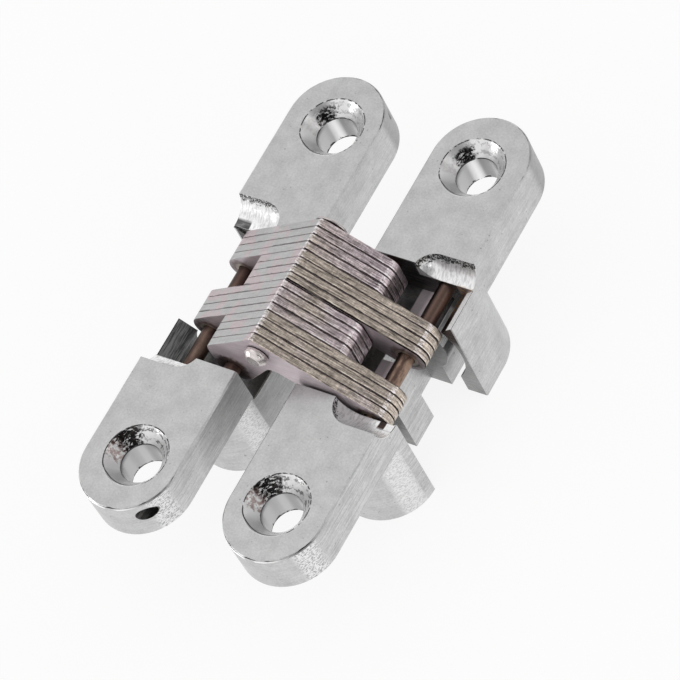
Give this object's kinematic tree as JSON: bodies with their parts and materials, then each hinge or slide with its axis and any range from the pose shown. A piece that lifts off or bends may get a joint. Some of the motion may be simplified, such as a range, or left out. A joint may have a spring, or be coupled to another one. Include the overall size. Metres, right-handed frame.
{
  "type": "concealed cross hinge",
  "caption": "Concealed cross hinge: cast leaves with round-ended screw tabs, joined by crossed packs of stamped link plates that fold into the leaves as the door closes.",
  "frame": {"origin": "floor level under the middle of the mechanism, hinge open and standing on the flat bottoms of its leaves", "axes": "+X from the left leaf to the right leaf, +Y along the leaves, +Z out of the leaves' faces"},
  "size_m": [0.0624, 0.117, 0.0465],
  "materials": {
    "leaf_metal": "satin plated casting",
    "plate_metal": "stamped, taupe plated",
    "pin_metal": "turned, bronze coloured"
  },
  "bodies": {
    "left_leaf": {"left_leaf": "leaf_metal", "left_fixed_pin": "pin_metal"},
    "link_b": {"link_b_plate_1": "plate_metal", "link_b_plate_2": "plate_metal", "link_b_plate_3": "plate_metal", "link_b_plate_4": "plate_metal", "link_b_plate_5": "plate_metal", "link_b_plate_6": "plate_metal", "link_b_plate_7": "plate_metal", "link_b_plate_8": "plate_metal", "centre_pin": "pin_metal", "right_slide_pin": "pin_metal"},
    "link_a": {"link_a_plate_1": "plate_metal", "link_a_plate_2": "plate_metal", "link_a_plate_3": "plate_metal", "link_a_plate_4": "plate_metal", "link_a_plate_5": "plate_metal", "link_a_plate_6": "plate_metal", "link_a_plate_7": "plate_metal", "link_a_plate_8": "plate_metal", "left_slide_pin": "pin_metal"},
    "right_leaf": {"right_leaf": "leaf_metal", "right_fixed_pin": "pin_metal"}
  },
  "joints": [
    {"name": "link_b_turn", "type": "hinge", "parent": "left_leaf", "child": "link_b", "pos_m": [-0.01105, 0, 0.0297], "axis": [0, -1, 0], "range_deg": [0, 117.72]},
    {"name": "link_a_turn", "type": "hinge", "parent": "link_b", "child": "link_a", "pos_m": [0, 0, 0.041], "axis": [0, 1, 0], "range_deg": [0, 55.45]},
    {"name": "right_leaf_turn", "type": "hinge", "parent": "link_a", "child": "right_leaf", "pos_m": [0.01105, 0, 0.0297], "axis": [0, -1, 0], "range_deg": [0, 117.72]}
  ],
  "couplings": [
    {"joint": "link_a_turn", "follows": "link_b_turn", "ratio": 0.471},
    {"joint": "right_leaf_turn", "follows": "link_b_turn", "ratio": 1}
  ]
}
